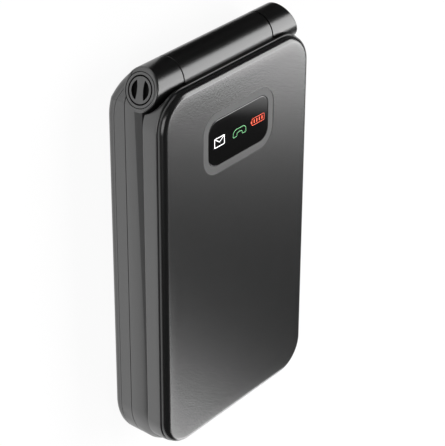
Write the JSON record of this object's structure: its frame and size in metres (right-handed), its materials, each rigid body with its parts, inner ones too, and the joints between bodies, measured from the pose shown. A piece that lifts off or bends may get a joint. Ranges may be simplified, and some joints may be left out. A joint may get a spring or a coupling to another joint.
{
  "type": "flip phone",
  "caption": "Compact clamshell phone, closed, with an outer status window, a round hinge barrel between two knuckles, and a keypad and display inside.",
  "frame": {"origin": "centre of the bounding box at its lowest plane, the flat back of the base", "axes": "+X across the width, +Y along the length towards the hinge, +Z from the back to the closed lid's outer face"},
  "size_m": [0.0543, 0.1062, 0.0174],
  "materials": {
    "housing": "fine satin moulding, charcoal grey",
    "lid_grain": "fine spark-eroded grain, charcoal grey",
    "barrel_black": "semi-gloss black",
    "window_black": "polished black lens",
    "key_black": "satin black with white figures",
    "ring_metal": "satin metallised ring",
    "cap": "satin charcoal cap",
    "steel": "bright pressed steel",
    "board": "green solder resist",
    "copper": "copper flex",
    "rubber": "matt black rubber",
    "display": "dark display glass",
    "battery": "dark plastic sleeve",
    "gold": "gold-plated contacts",
    "light_guide": "white light guide"
  },
  "bodies": {
    "base": {"battery_cover": "housing", "rear_housing": "housing", "front_housing": "housing", "keypad_membrane": "rubber", "dome_sheet": "steel", "main_pcb": "board", "shield_cans": "steel", "battery": "battery", "battery_contacts": "gold", "sim_holder": "steel", "memory_card_holder": "steel", "loudspeaker": "barrel_black", "microphone": "steel", "usb_port": "steel", "headphone_jack": "barrel_black", "camera_module": "barrel_black", "camera_window": "window_black", "vibration_motor": "steel", "antenna": "copper", "base_screws": "steel", "hinge_cap_left": "cap", "hinge_cap_right": "cap", "hinge_case": "steel", "hinge_spring": "steel", "hinge_follower": "steel", "hinge_bush": "barrel_black", "flex_cable": "copper"},
    "lid": {"lid_frame": "housing", "lid_cover": "lid_grain", "window_lens": "window_black", "icon_mask": "light_guide", "lid_pcb": "board", "main_display": "display", "display_lens": "window_black", "display_bracket": "steel", "earpiece": "steel", "closing_magnet": "steel", "lid_screws": "steel", "screw_plugs": "rubber", "rubber_bumpers": "rubber", "hinge_shaft": "steel"},
    "key_1": {"key_1": "key_black"},
    "key_2": {"key_2": "key_black"},
    "key_3": {"key_3": "key_black"},
    "key_4": {"key_4": "key_black"},
    "key_5": {"key_5": "key_black"},
    "key_6": {"key_6": "key_black"},
    "key_7": {"key_7": "key_black"},
    "key_8": {"key_8": "key_black"},
    "key_9": {"key_9": "key_black"},
    "key_star": {"key_star": "key_black"},
    "key_0": {"key_0": "key_black"},
    "key_hash": {"key_hash": "key_black"},
    "key_soft_left": {"key_soft_left": "key_black"},
    "key_soft_right": {"key_soft_right": "key_black"},
    "key_call": {"key_call": "key_black"},
    "key_end": {"key_end": "key_black"},
    "key_ok": {"key_ok": "key_black"},
    "nav_ring": {"nav_ring": "ring_metal"},
    "volume_rocker": {"volume_rocker": "cap"}
  },
  "joints": [
    {"name": "lid_hinge", "type": "hinge", "parent": "base", "child": "lid", "pos_m": [0, 0.0482, 0.0095], "axis": [-1, 0, 0], "range_deg": [0, 155]},
    {"name": "key_1_press", "type": "slide", "parent": "base", "child": "key_1", "axis": [0, 0, -1], "range_m": [0, 0.0003], "stiffness_N_per_m": 4000},
    {"name": "key_2_press", "type": "slide", "parent": "base", "child": "key_2", "axis": [0, 0, -1], "range_m": [0, 0.0003], "stiffness_N_per_m": 4000},
    {"name": "key_3_press", "type": "slide", "parent": "base", "child": "key_3", "axis": [0, 0, -1], "range_m": [0, 0.0003], "stiffness_N_per_m": 4000},
    {"name": "key_4_press", "type": "slide", "parent": "base", "child": "key_4", "axis": [0, 0, -1], "range_m": [0, 0.0003], "stiffness_N_per_m": 4000},
    {"name": "key_5_press", "type": "slide", "parent": "base", "child": "key_5", "axis": [0, 0, -1], "range_m": [0, 0.0003], "stiffness_N_per_m": 4000},
    {"name": "key_6_press", "type": "slide", "parent": "base", "child": "key_6", "axis": [0, 0, -1], "range_m": [0, 0.0003], "stiffness_N_per_m": 4000},
    {"name": "key_7_press", "type": "slide", "parent": "base", "child": "key_7", "axis": [0, 0, -1], "range_m": [0, 0.0003], "stiffness_N_per_m": 4000},
    {"name": "key_8_press", "type": "slide", "parent": "base", "child": "key_8", "axis": [0, 0, -1], "range_m": [0, 0.0003], "stiffness_N_per_m": 4000},
    {"name": "key_9_press", "type": "slide", "parent": "base", "child": "key_9", "axis": [0, 0, -1], "range_m": [0, 0.0003], "stiffness_N_per_m": 4000},
    {"name": "key_star_press", "type": "slide", "parent": "base", "child": "key_star", "axis": [0, 0, -1], "range_m": [0, 0.0003], "stiffness_N_per_m": 4000},
    {"name": "key_0_press", "type": "slide", "parent": "base", "child": "key_0", "axis": [0, 0, -1], "range_m": [0, 0.0003], "stiffness_N_per_m": 4000},
    {"name": "key_hash_press", "type": "slide", "parent": "base", "child": "key_hash", "axis": [0, 0, -1], "range_m": [0, 0.0003], "stiffness_N_per_m": 4000},
    {"name": "key_soft_left_press", "type": "slide", "parent": "base", "child": "key_soft_left", "axis": [0, 0, -1], "range_m": [0, 0.0003], "stiffness_N_per_m": 4000},
    {"name": "key_soft_right_press", "type": "slide", "parent": "base", "child": "key_soft_right", "axis": [0, 0, -1], "range_m": [0, 0.0003], "stiffness_N_per_m": 4000},
    {"name": "key_call_press", "type": "slide", "parent": "base", "child": "key_call", "axis": [0, 0, -1], "range_m": [0, 0.0003], "stiffness_N_per_m": 4000},
    {"name": "key_end_press", "type": "slide", "parent": "base", "child": "key_end", "axis": [0, 0, -1], "range_m": [0, 0.0003], "stiffness_N_per_m": 4000},
    {"name": "key_ok_press", "type": "slide", "parent": "base", "child": "key_ok", "axis": [0, 0, -1], "range_m": [0, 0.0003], "stiffness_N_per_m": 4000},
    {"name": "nav_ring_rock", "type": "hinge", "parent": "base", "child": "nav_ring", "pos_m": [0, 0.0136, 0.0093], "axis": [1, 0, 0], "range_deg": [-1.4, 1.4], "stiffness_Nm_per_rad": 0.5},
    {"name": "volume_rock", "type": "hinge", "parent": "base", "child": "volume_rocker", "pos_m": [0.0249, 0.01588, 0.00745], "axis": [0, 0, 1], "range_deg": [-1.4, 1.4], "stiffness_Nm_per_rad": 0.4}
  ]
}
